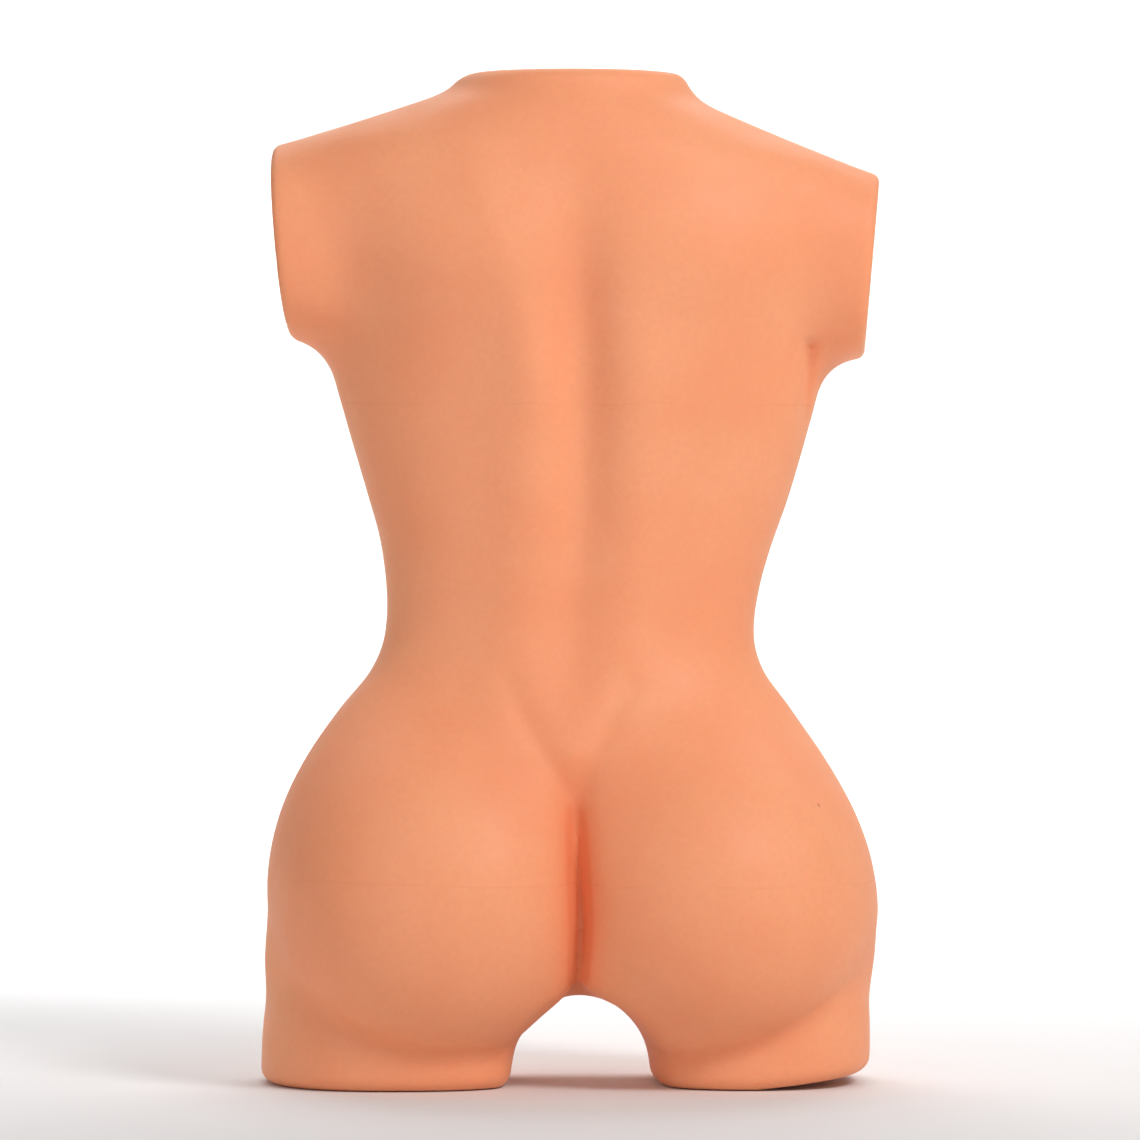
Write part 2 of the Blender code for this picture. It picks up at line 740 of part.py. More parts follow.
def build_clavicle(label, sign, steel, zinc):
    """A clavicle tube in its socket, and the disc at its end that backs the arm's cut face."""
    turn = Matrix.Rotation(sign * math.radians(90), 4, "Y")
    flip = Matrix.Rotation(sign * math.radians(-90), 4, "Y")
    place = (0, SPINE_Y, CROSS_Z)
    inner = TUBE_RADIUS - TUBE_WALL
    start = POST_RADIUS + SOCKET_WALL + 0.003
    plug_end = CLAVICLE_END - GAP
    arm = tube(
        "clavicle_tube_" + label,
        inner,
        TUBE_RADIUS,
        start,
        plug_end - 0.003 - GAP,
        place,
        turn,
        ROUND,
        steel,
    )
    drilled(arm, "clavicle_tube_" + label, sign * CLAVICLE_BOLT_X, CROSS_Z)
    disc_end = CLAVICLE_END + DISC
    head = (sign * (disc_end + GAP / 2), SPINE_Y, CROSS_Z)
    reach = TUBE_RADIUS + SOCKET_WALL + BOSS_PROUD
    return [
        arm,
        end_plug("clavicle_plug_" + label, plug_end - 0.024, plug_end, place, turn, zinc),
        perforated_disc(
            "shoulder_disc_" + label,
            DISC_RADIUS,
            M8_RADIUS + SLACK,
            CLAVICLE_END,
            disc_end,
            place,
            turn,
            steel,
        ),
        button_screw("shoulder_screw_" + label, M8_RADIUS, 0.026, head, flip, zinc),
        *clamp_set("clavicle_" + label, sign * CLAVICLE_BOLT_X, CROSS_Z, reach, zinc),
    ]


def build_post(name, start, end, bolt_z, pin_z, material):
    inner = POST_RADIUS - TUBE_WALL
    post = tube(name, inner, POST_RADIUS, start, end, (0, SPINE_Y, 0), None, ROUND, material)
    drilled(post, name, 0, bolt_z)
    if pin_z:
        hole = rod(name + "_pin_hole", M5_RADIUS + SLACK, -0.03, 0.03, (0, SPINE_Y, pin_z), ALONG_Y, 8)
        cut(post, hole)
    return post


def knuckle(name, sign, spans, material):
    """Half of the hinge: eyes over these x spans, on a block with a spigot that fits in a post.

    sign is 1 for the upper half and -1 for the lower one."""
    near = HINGE_Z + sign * BLOCK_OFFSET
    far = near + sign * BLOCK
    low, high = sorted((near, far))
    half = POST_RADIUS
    block = box(name, (-0.0165, SPINE_Y - half, low), (0.0165, SPINE_Y + half, high), material)
    hinge = (0, SPINE_Y, HINGE_Z)
    for i, (start, end) in enumerate(spans):
        join(block, rod(f"{name}_eye{i}", EYE_RADIUS, start, end, hinge, ALONG_X, 20))
        middle = near + sign * BLOCK / 2
        low, high = sorted((HINGE_Z, middle))
        web = box(
            f"{name}_web{i}",
            (start, SPINE_Y - half + 0.001, low),
            (end, SPINE_Y + half - 0.001, high),
        )
        join(block, web)
    inner = POST_RADIUS - TUBE_WALL - GAP
    root, tip = sorted((far - sign * 0.004, far + sign * 0.022))
    join(block, rod(name + "_spigot", inner, root, tip, (0, SPINE_Y, 0)))
    pin_z = far + sign * 0.012
    cut(block, rod(name + "_bore", HINGE_BOLT_RADIUS + SLACK, -0.03, 0.03, hinge, ALONG_X, 16))
    cut(block, rod(name + "_pin_bore", M5_RADIUS + SLACK, -0.03, 0.03, (0, SPINE_Y, pin_z), ALONG_Y, 8))
    reach = POST_RADIUS + 0.0008
    pin = rod(name + "_pin", M5_RADIUS, -reach, reach, (0, SPINE_Y, pin_z), ALONG_Y, 8)
    return block, pin, pin_z


def build_hinge(steel, zinc, brass):
    """The waist's friction hinge: a fork, a tongue, two lining discs and the bolt that presses them."""
    hinge = (0, SPINE_Y, HINGE_Z)
    ears = [(-EAR[1], -EAR[0]), EAR]
    fork, fork_pin, fork_pin_z = knuckle("spine_fork", -1, ears, steel)
    tongue, tongue_pin, tongue_pin_z = knuckle(
        "spine_tongue", 1, [(-TONGUE_HALF, TONGUE_HALF)], steel
    )
    for pin in (fork_pin, tongue_pin):
        pin.data.materials.append(zinc)
    hole = HINGE_BOLT_RADIUS + SLACK
    pieces = [fork, fork_pin]
    for label, sign in SIDES:
        low, high = sorted((sign * FRICTION_DISC[0], sign * FRICTION_DISC[1]))
        name = "friction_disc_" + label
        pieces.append(tube(name, hole, 0.0135, low, high, hinge, ALONG_X, ROUND, brass))
    low, high = -WASHER[1], -WASHER[0]
    pieces.append(tube("hinge_washer", hole, 0.0095, low, high, hinge, ALONG_X, ROUND, zinc))
    cone = [
        (hole, WASHER[0] + 0.0009),
        (0.0100, WASHER[0]),
        (0.0100, WASHER[0] + 0.0012),
        (hole, WASHER[0] + 0.0021),
    ]
    pieces.append(turned("hinge_spring", cone, hinge, ALONG_X, ROUND, zinc, ring=True))
    nut_start = WASHER[0] + 0.0024
    bolt_head = (-(WASHER[1] + 0.0003), SPINE_Y, HINGE_Z)
    length = 0.0279 + WASHER[1] + 0.0003
    pieces.append(hinge_bolt(bolt_head, length, zinc))
    nut = (nut_start, SPINE_Y, HINGE_Z)
    pieces.append(hex_nut("hinge_nut", 0.0047, 0.0062, nut, ALONG_X, zinc))
    return pieces, [tongue, tongue_pin], (fork_pin_z, tongue_pin_z)


def hinge_bolt(place, length, material):
    """The hinge's bolt, with a low hexagon-socket head that stays inside the waist's sleeve."""
    radius = HINGE_BOLT_RADIUS
    profile = [
        (0, -0.0040),
        (0.0035, -0.0040),
        (0.0035, -0.0075),
        (0.0075, -0.0075),
        (0.0082, -0.0068),
        (0.0082, 0),
        (radius, 0),
        (radius, length - 0.009),
        (0.0047 - SLACK / 2, length - 0.009),
        (0.0047 - SLACK / 2, length - 0.0006),
        (0.0040, length),
        (0, length),
    ]
    return turned("hinge_bolt", profile, place, ALONG_X, 16, material)


def build_neck(steel, zinc, elastomer):
    """The neck post, the plate that backs the neck's cut face and the plug in its socket."""
    place = (0, SPINE_Y, 0)
    inner = POST_RADIUS - TUBE_WALL
    hub_low = NECK_PLATE_Z - NECK_HUB
    post = tube(
        "neck_post",
        inner,
        POST_RADIUS,
        CROSS_Z + 0.006,
        hub_low - GAP,
        place,
        None,
        ROUND,
        steel,
    )
    drilled(post, "neck_post", 0, NECK_BOLT_Z)
    bore = STEM_RADIUS + FIT
    plate_high = NECK_PLATE_Z + DISC
    profile = [
        (bore, STEM_BOTTOM - 0.002),
        (inner - GAP, STEM_BOTTOM - 0.002),
        (inner - GAP, hub_low),
        (NECK_HUB_RADIUS, hub_low),
        (NECK_HUB_RADIUS, NECK_PLATE_Z),
        (NECK_PLATE_RADIUS, NECK_PLATE_Z),
        (NECK_PLATE_RADIUS, plate_high),
        (bore, plate_high),
    ]
    plate = turned("neck_plate", profile, place, None, 20, steel, ring=True)
    screw_z = 0.574
    for target, name in ((post, "post"), (plate, "plate")):
        hole = rod(
            f"neck_{name}_tap", M5_RADIUS + SLACK, 0.0, 0.03, (0, SPINE_Y, screw_z), ALONG_Y, 8
        )
        cut(target, hole)
    screw = rod(
        "neck_set_screw", M5_RADIUS, bore + 0.0006, POST_RADIUS, (0, SPINE_Y, screw_z), ALONG_Y, 8, zinc
    )
    disc_low = plate_high + GAP
    plug_profile = [
        (0, STEM_BOTTOM - disc_low),
        (STEM_RADIUS - 0.0015, STEM_BOTTOM - disc_low),
        (STEM_RADIUS, STEM_BOTTOM - disc_low + 0.0015),
        (STEM_RADIUS, 0),
        (PLUG_RADIUS, 0),
        (PLUG_RADIUS, HEIGHT - disc_low - 0.0008),
        (PLUG_RADIUS - 0.0008, HEIGHT - disc_low),
        (0, HEIGHT - disc_low),
    ]
    plug = turned("neck_plug", plug_profile, (0, 0, 0), None, PLUG_SIDES, elastomer)
    return [post, plate, screw], plug, disc_low


# ---------------------------------------------------------------- assembly
def empty(name, location, parent=None):
    made = bpy.data.objects.new(name, None)
    made.location = location
    made.empty_display_size = 0.05
    bpy.context.collection.objects.link(made)
    attach(made, parent)
    return made


def attach(item, parent):
    """Parents an object to another without moving it."""
    if parent:
        item.parent = parent
        bpy.context.view_layer.update()
        item.matrix_parent_inverse = parent.matrix_world.inverted()


def main():
    clear_scene()
    elastomer = make_material("elastomer", (0.847, 0.381, 0.221), 0.55)
    foam = make_material("polyurethane_foam", (0.780, 0.720, 0.520), 0.95)
    steel = make_material("black_painted_steel", (0.030, 0.031, 0.033), 0.45, 0.3)
    zinc = make_material("zinc_plated_steel", (0.560, 0.570, 0.590), 0.32, 1.0)
    brass = make_material("brass", (0.600, 0.440, 0.180), 0.35, 1.0)

    pelvis = empty("pelvis", (0, 0, 0))
    chest = empty("chest", (0, SPINE_Y, HINGE_Z), pelvis)

    skin_low, skin_high, skin_band = build_skin(elastomer)
    foam_low, foam_high = build_foam(foam)
    hinge_low, hinge_high, (fork_pin_z, tongue_pin_z) = build_hinge(steel, zinc, brass)
    socket_reach = POST_RADIUS + SOCKET_WALL + BOSS_PROUD
    fork_base = HINGE_Z - BLOCK_OFFSET - BLOCK - GAP
    tongue_base = HINGE_Z + BLOCK_OFFSET + BLOCK + GAP
    lower = [
        skin_low,
        skin_band,
        foam_low,
        *hinge_low,
        build_pelvis_frame(steel),
        build_post("lumbar_post", 0.112, fork_base, LUMBAR_BOLT_Z, fork_pin_z, steel),
        *clamp_set("lumbar", 0, LUMBAR_BOLT_Z, socket_reach, zinc),
    ]
    neck, plug, plug_z = build_neck(steel, zinc, elastomer)
    upper = [
        skin_high,
        foam_high,
        *hinge_high,
        *neck,
        build_chest_frame(steel),
        build_post("chest_post", tongue_base, CROSS_Z - 0.006, CHEST_BOLT_Z, tongue_pin_z, steel),
        *clamp_set("chest", 0, CHEST_BOLT_Z, socket_reach, zinc),
        *clamp_set("neck", 0, NECK_BOLT_Z, socket_reach, zinc),
    ]
    for label, sign in SIDES:
        lower += build_leg(label, sign, steel, zinc)
        upper += build_clavicle(label, sign, steel, zinc)
    for item in lower:
        attach(item, pelvis)
    for item in upper:
        attach(item, chest)
    plug.location = (0, SPINE_Y, plug_z)
    attach(plug, chest)


main()
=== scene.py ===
"""The looks of a soft headless torso mannequin, built round its packed steel frame and foam.

The skin is one casting. Its form is a distance field made of lofted sections and soft blends, which
is turned into a closed mesh and hollowed for the foam and the steel frame.
All lengths are metres. +Z is up, the back faces +Y and the torso's own left is +X.
"""

import json
import math

import bmesh
import bpy
import numpy as np
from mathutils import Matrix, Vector


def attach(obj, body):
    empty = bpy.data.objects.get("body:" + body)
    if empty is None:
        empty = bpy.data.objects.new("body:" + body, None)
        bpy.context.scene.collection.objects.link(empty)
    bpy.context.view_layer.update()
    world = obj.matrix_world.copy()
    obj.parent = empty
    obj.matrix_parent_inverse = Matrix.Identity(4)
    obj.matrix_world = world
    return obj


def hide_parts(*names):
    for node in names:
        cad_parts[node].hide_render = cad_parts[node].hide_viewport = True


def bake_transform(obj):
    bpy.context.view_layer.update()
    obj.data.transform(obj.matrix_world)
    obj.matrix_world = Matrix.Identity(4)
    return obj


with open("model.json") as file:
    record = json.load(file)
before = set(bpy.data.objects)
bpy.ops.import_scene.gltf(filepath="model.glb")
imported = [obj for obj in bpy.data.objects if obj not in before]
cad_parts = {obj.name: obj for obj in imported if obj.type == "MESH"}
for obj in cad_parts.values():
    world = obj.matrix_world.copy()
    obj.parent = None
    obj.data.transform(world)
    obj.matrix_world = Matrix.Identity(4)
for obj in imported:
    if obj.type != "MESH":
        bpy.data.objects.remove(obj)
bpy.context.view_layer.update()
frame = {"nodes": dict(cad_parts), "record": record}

# ---------------------------------------------------------------- the torso's dimensions
NECK_TOP = 0.612
RIM = 0.009  # how far the rims of the cut faces are rounded
NECK_RIM = 0.006
ARM_RIM = 0.004
ARM_CUT_X = 0.1795  # half distance between the arm cuts, at ARM_CUT_Z
ARM_CUT_Z = 0.503
ARM_CUT_SLOPE = 0.085
ARM_CUT_SHIFT = 0.0048  # both cuts lie this much to the right
ARM_CUT_TURN = 0.085  # both cuts are turned the same way about the upright axis
HIPS_CLEAR = 0.08  # how far outwards the cuts move below the arms, to miss the hips
WALL = 0.014  # of the skin, round the foam and the frame
END_WALL = 0.009  # the same, behind the cut faces
VOID_HALF = 0.1660  # half the width of the space inside the wall
SPINE_Y = 0.005
SLEEVE_RADIUS = 0.030
PLUG_RADIUS = 0.022
PLUG_SEAT = 0.6023
PLUG_GAP = 0.0003
ROUND_SIDES = 96
SOCKET_BOTTOM = 0.592
GRID = 0.0031
VOID_GRID = 0.0065
CREASE_REACH = 0.010  # surfaces that face each other closer than this form a crease, which gets painted shade in the skin's colour
MOULD_LINES = (0.411, 0.1245)  # heights of the faint lines across the back

# Sections of the trunk: height, half width, y of the widest line, y of the front, y of the back.
TRUNK = (
    (0.000, 0.1590, 0.000, -0.080, 0.066),
    (0.040, 0.1715, 0.000, -0.085, 0.074),
    (0.075, 0.1785, 0.003, -0.090, 0.076),
    (0.110, 0.1795, 0.005, -0.092, 0.080),
    (0.145, 0.1755, 0.005, -0.090, 0.081),
    (0.180, 0.1650, 0.003, -0.087, 0.079),
    (0.203, 0.1535, 0.001, -0.084, 0.0755),
    (0.227, 0.1372, -0.002, -0.081, 0.068),
    (0.251, 0.1192, -0.005, -0.078, 0.060),
    (0.266, 0.1136, -0.007, -0.077, 0.057),
    (0.281, 0.1123, -0.008, -0.076, 0.0555),
    (0.299, 0.1137, -0.008, -0.077, 0.056),
    (0.323, 0.1183, -0.008, -0.086, 0.058),
    (0.359, 0.1292, -0.007, -0.100, 0.0625),
    (0.395, 0.1397, -0.006, -0.1165, 0.0685),
    (0.431, 0.1490, -0.004, -0.1190, 0.0755),
    (0.465, 0.1530, -0.002, -0.1050, 0.081),
    (0.500, 0.1590, 0.000, -0.0890, 0.085),
    (0.530, 0.1640, 0.002, -0.0770, 0.082),
    (0.552, 0.1660, 0.004, -0.067, 0.077),
    (0.5650, 0.1500, 0.005, -0.063, 0.075),
    (0.5765, 0.1230, 0.006, -0.058, 0.071),
    (0.5870, 0.0980, 0.006, -0.055, 0.067),
    (0.5970, 0.0765, 0.005, -0.052, 0.062),
    (0.6070, 0.0690, 0.004, -0.050, 0.058),
    (0.6250, 0.0680, 0.003, -0.048, 0.055),
)

# Sections of a thigh stump: height, x of its middle, half width, y of its middle, half depth.
THIGH = (
    (-0.010, 0.1090, 0.0760, -0.002, 0.077),
    (0.012, 0.1090, 0.0760, -0.002, 0.077),
    (0.033, 0.1075, 0.0770, -0.001, 0.077),
    (0.045, 0.1040, 0.0796, 0.000, 0.077),
    (0.060, 0.0983, 0.0833, 0.000, 0.078),
    (0.090, 0.0950, 0.0800, 0.002, 0.078),
    (0.140, 0.0905, 0.0700, 0.003, 0.075),
)
THIGH_TOP = 0.135
THIGH_SKEW = 0.03  # the gap between the thighs is narrowest towards the back
GAP_SHIFT = 0.008  # the gap lies this far to the right of the middle
ARCH_HALF = 0.0425  # half the width of the gap, at the floor
ARCH_HEIGHT = 0.0530
ARCH_FLARE = 0.03  # how much wider it grows towards the front
TRUNK_BOTTOM = 0.050
HEM_START = 0.110  # beyond this the right thigh's cut rises outwards,
HEM_SLOPE = 0.11  # at this slope
CLEFT_SHIFT = 0.003  # the cleft lies a little to the right of the middle

# How far the middle of the body lies to its own left: height, distance.
SWAY = (
    (-0.010, 0.0030),
    (0.030, 0.0022),
    (0.070, 0.0006),
    (0.100, -0.0006),
    (0.130, 0.0008),
    (0.180, 0.0028),
    (0.220, 0.0030),
    (0.250, 0.0016),
    (0.300, -0.0021),
    (0.335, -0.0046),
    (0.400, -0.0044),
    (0.450, -0.0032),
    (0.550, -0.0027),
    (0.625, -0.0027),
)
ARM_TILT = 0.034  # the left arm rides a little higher,
SHOULDER_TILT = 0.010  # and the shoulder line above it a little more so

# Ellipsoids: centre and radii of the left one of each pair.
BUTTOCK = ((0.0815, 0.0410, 0.1130), (0.0955, 0.0850, 0.0970))
BUST = ((0.0700, -0.0680, 0.4180), (0.0600, 0.0600, 0.0600))


# ---------------------------------------------------------------- the distance field
def curve(rows, samples=500):
    """A function that reads a table's columns at any height, on a smooth curve through its rows."""
    table = np.array(rows, float)
    height = table[:, 0]
    slope = np.gradient(table[:, 1:], height, axis=0)
    fine = np.linspace(height[0], height[-1], samples)
    i = np.clip(np.searchsorted(height, fine, side="right") - 1, 0, len(height) - 2)
    span = (height[i + 1] - height[i])[:, None]
    t = (fine - height[i])[:, None] / span
    low, high = table[i, 1:], table[i + 1, 1:]
    values = (
        (2 * t**3 - 3 * t**2 + 1) * low
        + (t**3 - 2 * t**2 + t) * span * slope[i]
        + (3 * t**2 - 2 * t**3) * high
        + (t**3 - t**2) * span * slope[i + 1]
    )
    return lambda z: [np.interp(z, fine, column) for column in values.T]


trunk_at = curve(TRUNK)
thigh_at = curve(THIGH)
sway_at = curve(SWAY)


def smooth_step(low, high, value):
    t = np.clip((value - low) / (high - low), 0, 1)
    return t * t * (3 - 2 * t)


def blend_min(a, b, k):
    """The union of two fields, with a fillet about k wide."""
    h = np.maximum(k - np.abs(a - b), 0) / k
    return np.minimum(a, b) - h * h * k * 0.25


def round_max(a, b, radius):
    """What two fields share, with its edge rounded to that radius."""
    corner = np.hypot(np.maximum(a + radius, 0), np.maximum(b + radius, 0))
    return np.minimum(-radius, np.maximum(a, b)) + corner


def section(u, v, half_u, half_v, power):
    """The distance from a superellipse, to first order."""
    u, v = np.abs(u) / half_u + 1e-6, np.abs(v) / half_v + 1e-6
    q = (u**power + v**power) ** (1 / power)
    slope_u = (u / q) ** (power - 1) / half_u
    slope_v = (v / q) ** (power - 1) / half_v
    return (q - 1) / np.hypot(slope_u, slope_v)


def ellipsoid(x, y, z, centre, radii):
    u, v, w = (x - centre[0]), (y - centre[1]), (z - centre[2])
    a, b, c = radii
    k = np.sqrt((u / a) ** 2 + (v / b) ** 2 + (w / c) ** 2) + 1e-9
    g = np.sqrt((u / a**2) ** 2 + (v / b**2) ** 2 + (w / c**2) ** 2) + 1e-9
    return k * (k - 1) / g


def trunk(x, y, z, inset=0.0, power=2.15):
    half, middle, front, back = trunk_at(z)
    depth = np.where(y > middle, back - middle, middle - front)
    return section(x, y - middle, half - inset, depth - inset, power)


def thigh(x, y, z):
    centre, half, middle, depth = thigh_at(z)
    shift = GAP_SHIFT / 2 * np.sign(x) * (1 - smooth_step(0.05, 0.12, z))
    across = np.abs(x) - centre + shift + THIGH_SKEW * (y - middle)
    stump = section(across, y - middle, half + shift, depth, 2.4)
    return round_max(stump, z - THIGH_TOP, 0.05)


def arch(x, y, z):
    """The space between the thighs, which flares towards the front."""
    flare = ARCH_FLARE * np.clip(0.04 - y, 0, 0.1)
    return section(x + GAP_SHIFT, z, ARCH_HALF + flare, ARCH_HEIGHT, 2.0)


def arm(x, y, z):
    """The stump of an upper arm, which tapers outwards under a straight shoulder line."""
    out = np.abs(x)
    top = 0.5650 - 0.32 * (out - 0.168)
    low = 0.4455 + 0.25 * (out - 0.172)
    return section(y + 0.001, z - (top + low) / 2, 0.0570, (top - low) / 2, 2.35)


def pair(x, y, z, shape, fillet):
    """Both of a mirrored pair of ellipsoids."""
    (cx, cy, cz), radii = shape
    left = ellipsoid(x, y, z, (cx, cy, cz), radii)
    right = ellipsoid(x, y, z, (-cx, cy, cz), radii)
    return blend_min(left, right, fillet)


def bump(x, z, at_x, at_z, wide, tall):
    return np.exp(-(((x - at_x) / wide) ** 2) - ((z - at_z) / tall) ** 2)


def along(x, z, start, end, wide):
    """A soft line on the back, from start to end in x and z."""
    dx, dz = end[0] - start[0], end[1] - start[1]
    t = ((x - start[0]) * dx + (z - start[1]) * dz) / (dx * dx + dz * dz)
    t = np.clip(t, 0, 1)
    distance = np.hypot(x - start[0] - t * dx, z - start[1] - t * dz)
    return np.exp(-((distance / wide) ** 2))


groove_at = curve(
    (
        (0.150, 0.0000, 0.012),
        (0.190, 0.0004, 0.015),
        (0.240, 0.0020, 0.015),
        (0.270, 0.0032, 0.015),
        (0.300, 0.0046, 0.015),
        (0.330, 0.0074, 0.016),
        (0.365, 0.0100, 0.017),
        (0.420, 0.0125, 0.018),
        (0.470, 0.0120, 0.019),
        (0.495, 0.0095, 0.020),
        (0.527, 0.0045, 0.021),
        (0.565, 0.0010, 0.020),
        (0.600, 0.0000, 0.020),
    )
)
cleft_at = curve(
    (
        (0.030, 0.0060, 0.0070),
        (0.050, 0.0110, 0.0070),
        (0.075, 0.0130, 0.0065),
        (0.110, 0.0140, 0.0065),
        (0.140, 0.0130, 0.0065),
        (0.165, 0.0100, 0.0080),
        (0.182, 0.0045, 0.0100),
        (0.200, 0.0000, 0.0120),
    )
)


def back_relief(x, y, z):
    """What is carved from the back (above 0) or raised on it (below 0)."""
    out = np.abs(x)
    depth, wide = groove_at(z)
    relief = depth * np.exp(-((x / wide) ** 2))
    ridge = smooth_step(0.20, 0.27, z) * (1 - smooth_step(0.42, 0.50, z))
    relief -= 0.0028 * ridge * np.exp(-(((out - 0.036) / 0.018) ** 2))
    relief -= 0.0060 * bump(out, z, 0.090, 0.505, 0.048, 0.042)
    relief += 0.0018 * bump(out, z, 0.112, 0.440, 0.040, 0.034)
    relief -= 0.0018 * along(x, z, (0.062, 0.552), (0.020, 0.412), 0.016)
    relief += 0.0055 * bump(out, z, 0.138, 0.466, 0.027, 0.040)
    relief += 0.0040 * along(x, z, (-0.141, 0.452), (-0.138, 0.404), 0.0035)
    relief += 0.0020 * along(out, z, (0.036, 0.243), (0.006, 0.182), 0.0080)
    relief -= 0.0022 * bump(out, z, 0.0, 0.205, 0.018, 0.026)
    relief *= smooth_step(0.000, 0.035, y)
    depth, wide = cleft_at(z)
    cleft = depth / (1 + (x / wide) ** 2) * smooth_step(0.015, 0.050, y)
    return relief + cleft


def torso(p):
    """The outer form's field, near zero in metres from its surface."""
    x, y, height = p[:, 0], p[:, 1], p[:, 2]
    tilt = ARM_TILT * smooth_step(0.30, 0.45, height)
    tilt += SHOULDER_TILT * smooth_step(0.45, 0.56, height)
    z = height - tilt * x
    x = x - sway_at(z)[0]
    x = x + CLEFT_SHIFT * smooth_step(0, 0.06, y) * (1 - smooth_step(0.16, 0.22, z))
    field = trunk(x, y, z)
    field = round_max(field, TRUNK_BOTTOM - z, 0.030)
    seat = pair(x, y, z, BUTTOCK, 0.014)
    field = blend_min(field, seat, 0.034)
    crease = 0.022 - 0.015 * smooth_step(0.0, 0.05, y)
    field = blend_min(field, thigh(x, y, z), crease)
    field = round_max(field, -arch(x, y, z), 0.012)
    field = blend_min(field, arm(x, y, z), 0.020)
    field = blend_min(field, pair(x, y, z, BUST, 0.02), 0.034)
    field = field + back_relief(x, y, z)
    field = round_max(field, height - NECK_TOP, NECK_RIM)
    rise = HEM_SLOPE * np.clip(-HEM_START - p[:, 0], 0, 0.08)
    field = round_max(field, rise - height, RIM)
    slant = math.hypot(1, ARM_CUT_SLOPE, ARM_CUT_TURN)
    from_middle = p[:, 0] + ARM_CUT_SHIFT
    twist = ARM_CUT_TURN * y * np.sign(from_middle)
    cut = (np.abs(from_middle) - twist - ARM_CUT_X - ARM_CUT_SLOPE * (z - ARM_CUT_Z)) / slant
    cut = cut - HIPS_CLEAR * (1 - smooth_step(0.30, 0.41, z))
    return round_max(field, cut, ARM_RIM)


def hollow(p):
    """The field of the space inside the skin, which holds the foam and the frame."""
    x, y, z = p[:, 0], p[:, 1], p[:, 2]
    limits = [z - (NECK_TOP - END_WALL), END_WALL - z, np.abs(x) - VOID_HALF]
    core = torso(p) + WALL
    for limit in limits:
        core = np.maximum(core, limit)
    solid_waist = np.minimum(z - 0.200, 0.370 - z)
    sleeve = np.hypot(x, y - SPINE_Y) - SLEEVE_RADIUS
    sleeve = np.maximum(sleeve, np.maximum(0.19 - z, z - 0.38))
    return np.minimum(np.maximum(core, solid_waist), sleeve)


# ---------------------------------------------------------------- from field to mesh
CORNERS = np.array([(i, j, k) for i in (0, 1) for j in (0, 1) for k in (0, 1)])
EDGES = [
    (0, 1), (2, 3), (4, 5), (6, 7),
    (0, 2), (1, 3), (4, 6), (5, 7),
    (0, 4), (1, 5), (2, 6), (3, 7),
]


def gradient(field, points, step=4e-4):
    found = np.empty_like(points)
    for axis in range(3):
        shift = np.zeros(3)
        shift[axis] = step
        found[:, axis] = (field(points + shift) - field(points - shift)) / (2 * step)
    return found


def settle(field, points, rounds, most):
    """Moves points onto the field's zero surface."""
    for _ in range(rounds):
        slope = gradient(field, points)
        move = field(points)[:, None] * slope / np.maximum((slope**2).sum(1), 0.05)[:, None]
        size = np.linalg.norm(move, axis=1, keepdims=True)
        points = points - move * np.minimum(1, most / np.maximum(size, 1e-12))
    return points


def surface(field, low, high, step):
    """(points, quads) of the field's zero surface, one point in each grid cell that it crosses."""
    axes = [np.arange(a, b + step, step) for a, b in zip(low, high)]
    shape = tuple(len(a) for a in axes)
    values = np.empty(shape)
    for k, z in enumerate(axes[2]):
        gx, gy = np.meshgrid(axes[0], axes[1], indexing="ij")
        plane = np.column_stack([gx.ravel(), gy.ravel(), np.full(gx.size, z)])
        values[:, :, k] = field(plane).reshape(gx.shape)
    inside = values < 0
    cells = np.array(shape) - 1
    signs = np.zeros(tuple(cells), int)
    for a, b, c in CORNERS:
        signs += inside[a : a + cells[0], b : b + cells[1], c : c + cells[2]]
    active = np.argwhere((signs > 0) & (signs < 8))
    number = -np.ones(tuple(cells), int)
    number[tuple(active.T)] = np.arange(len(active))
    total, count = np.zeros((len(active), 3)), np.zeros(len(active))
    corner_values = [values[tuple((active + c).T)] for c in CORNERS]
    for a, b in EDGES:
        va, vb = corner_values[a], corner_values[b]
        crossed = (va < 0) != (vb < 0)
        t = np.where(crossed, va / np.where(crossed, va - vb, 1), 0)[:, None]
        point = CORNERS[a] + t * (CORNERS[b] - CORNERS[a])
        total += np.where(crossed[:, None], point, 0)
        count += crossed
    points = np.array([a[0] for a in axes]) + step * (active + total / count[:, None])
    quads = []
    for axis in range(3):
        u, v = [(1, 2), (2, 0), (0, 1)][axis]
        ahead = np.roll(inside, -1, axis)
        edge = inside != ahead
        index = [slice(1, n - 1) for n in shape]
        index[axis] = slice(0, shape[axis] - 1)
        where = np.argwhere(edge[tuple(index)]) + [s.start for s in index]
        du, dv = np.zeros(3, int), np.zeros(3, int)
        du[u], dv[v] = 1, 1
        steps = ((1, 1), (0, 1), (0, 0), (1, 0))
        ring = np.column_stack([number[tuple((where - du * i - dv * j).T)] for i, j in steps])
        flip = inside[tuple(where.T)]
        ring[flip] = ring[flip][:, ::-1]
        quads.append(ring)
    return points, np.vstack(quads)


def even_out(field, points, quads, rounds):
    """Evens the mesh's spacing by sliding each point towards its neighbours along the surface."""
    edges = np.vstack([quads[:, [i, (i + 1) % 4]] for i in range(4)])
    edges = np.vstack([edges, edges[:, ::-1]])
    count = np.bincount(edges[:, 0], minlength=len(points))[:, None]
    for _ in range(rounds):
        mean = np.column_stack(
            [np.bincount(edges[:, 0], points[edges[:, 1], axis], len(points)) for axis in range(3)]
        )
        points = points + 0.5 * (mean / count - points)
        points = settle(field, points, 1, GRID)
    return points


